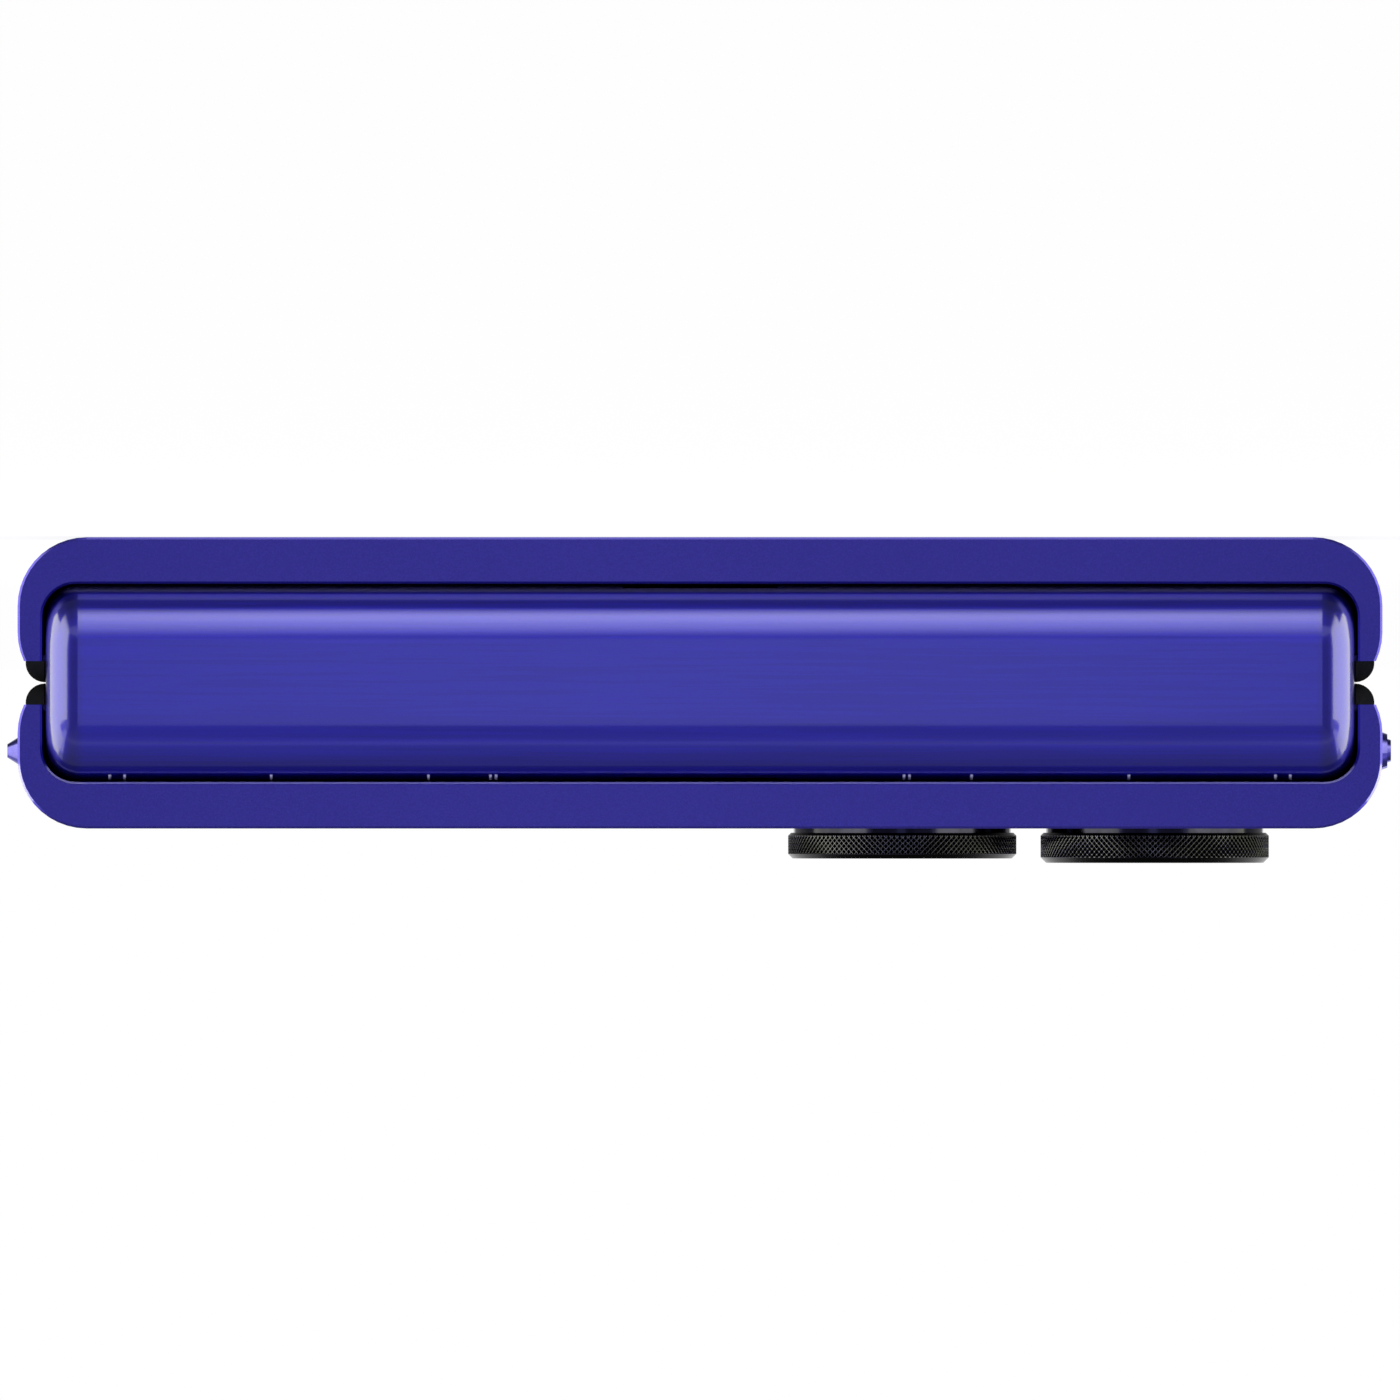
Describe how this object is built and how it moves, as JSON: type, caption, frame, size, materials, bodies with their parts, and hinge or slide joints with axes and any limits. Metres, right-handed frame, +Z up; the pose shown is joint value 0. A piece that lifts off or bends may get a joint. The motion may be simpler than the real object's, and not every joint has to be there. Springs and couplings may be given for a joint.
{
  "type": "flip phone",
  "caption": "Folding clamshell phone, shut: two slim halves on a geared hinge spine, with folding inner screen, cover screen, camera rings and side keys.",
  "frame": {"origin": "under the middle of the shut phone, on the back of its base half", "axes": "+X across the phone, +Y from the hinge cover to the far end, +Z up through both halves to the cover screen"},
  "size_m": [0.0755, 0.0882, 0.0178],
  "materials": {
    "frame_metal": "satin purple anodised metal",
    "rim_soft": "matte black elastomer",
    "band_plastic": "purple filled plastic",
    "cover_glass": "frosted purple glass",
    "front_glass": "polished black-backed glass",
    "screen": "folding screen with a plastic skin",
    "spine_metal": "brushed purple anodised metal",
    "ring_metal": "black knurled metal",
    "lens_glass": "coated lens window",
    "steel": "stainless steel",
    "dark_plastic": "moulded black plastic",
    "board": "solder-masked circuit board",
    "battery": "foil-pouch cell",
    "coil": "wound copper coil",
    "flex": "polyimide flexible circuit",
    "flash_plastic": "clear flash lens"
  },
  "bodies": {
    "base": {"base_frame": "frame_metal", "back_cover": "cover_glass", "base_antenna_bands": "band_plastic", "base_rim": "rim_soft", "base_support_plate": "steel", "base_screen": "screen", "base_battery": "battery", "charging_coil": "coil", "sub_board": "board", "usb_socket": "steel", "loudspeaker": "dark_plastic", "haptic_motor": "steel", "microphone": "steel", "sim_reader": "steel", "base_hinge_arms": "steel", "base_arm_screws": "steel"},
    "spine": {"hinge_cover": "spine_metal", "hinge_cores": "steel", "core_screws": "steel", "hinge_shafts": "steel", "idler_pins": "steel", "friction_washers": "steel", "fold_end_caps": "dark_plastic", "fold_screen": "screen", "hinge_flex": "flex"},
    "front": {"front_frame": "frame_metal", "cover_glass": "front_glass", "cover_screen": "screen", "front_antenna_bands": "band_plastic", "front_rim": "rim_soft", "front_support_plate": "steel", "front_screen": "screen", "front_battery": "battery", "main_board": "board", "shield_can": "steel", "main_camera_ring": "ring_metal", "wide_camera_ring": "ring_metal", "camera_windows": "lens_glass", "main_camera": "dark_plastic", "wide_camera": "dark_plastic", "flash_lens": "flash_plastic", "selfie_camera": "dark_plastic", "earpiece": "dark_plastic", "front_hinge_arms": "steel", "front_arm_screws": "steel", "key_switches": "dark_plastic", "key_brackets": "steel"},
    "base_idlers": {"base_idler_gears": "steel"},
    "front_idlers": {"front_idler_gears": "steel"},
    "sim_tray": {"sim_tray": "frame_metal"},
    "main_lens": {"main_lens_barrel": "dark_plastic"},
    "power_key": {"power_key": "frame_metal"},
    "volume_key": {"volume_key": "frame_metal"},
    "side_key": {"side_key": "frame_metal"}
  },
  "joints": [
    {"name": "base_fold", "type": "hinge", "parent": "base", "child": "spine", "pos_m": [0, -0.04025, 0.0064], "axis": [1, 0, 0], "range_deg": [0, 90], "deforming": ["fold_screen", "hinge_flex"]},
    {"name": "front_fold", "type": "hinge", "parent": "spine", "child": "front", "pos_m": [0, -0.04025, 0.0094], "axis": [1, 0, 0], "range_deg": [0, 90]},
    {"name": "base_idler_spin", "type": "hinge", "parent": "spine", "child": "base_idlers", "pos_m": [0, -0.04195, 0.007], "axis": [1, 0, 0], "range_deg": [0, 90]},
    {"name": "front_idler_spin", "type": "hinge", "parent": "spine", "child": "front_idlers", "pos_m": [0, -0.04195, 0.0088], "axis": [1, 0, 0], "range_deg": [-90, 0]},
    {"name": "tray_slide", "type": "slide", "parent": "base", "child": "sim_tray", "axis": [1, 0, 0], "range_m": [0, 0.016]},
    {"name": "lens_focus", "type": "slide", "parent": "front", "child": "main_lens", "axis": [0, 0, 1], "range_m": [0, 0.00025], "stiffness_N_per_m": 60, "springref_m": -0.0005},
    {"name": "power_press", "type": "slide", "parent": "front", "child": "power_key", "axis": [1, 0, 0], "range_m": [0, 0.00025], "stiffness_N_per_m": 800, "springref_m": -0.001},
    {"name": "volume_rock", "type": "hinge", "parent": "front", "child": "volume_key", "pos_m": [-0.034, 0, 0.0116], "axis": [0, 0, 1], "range_deg": [-1.1, 1.1], "stiffness_Nm_per_rad": 0.05},
    {"name": "side_press", "type": "slide", "parent": "front", "child": "side_key", "axis": [-1, 0, 0], "range_m": [0, 0.00025], "stiffness_N_per_m": 800, "springref_m": -0.001}
  ],
  "couplings": [
    {"joint": "front_fold", "follows": "base_fold", "ratio": 1},
    {"joint": "base_idler_spin", "follows": "base_fold", "ratio": 1},
    {"joint": "front_idler_spin", "follows": "base_fold", "ratio": -1}
  ]
}
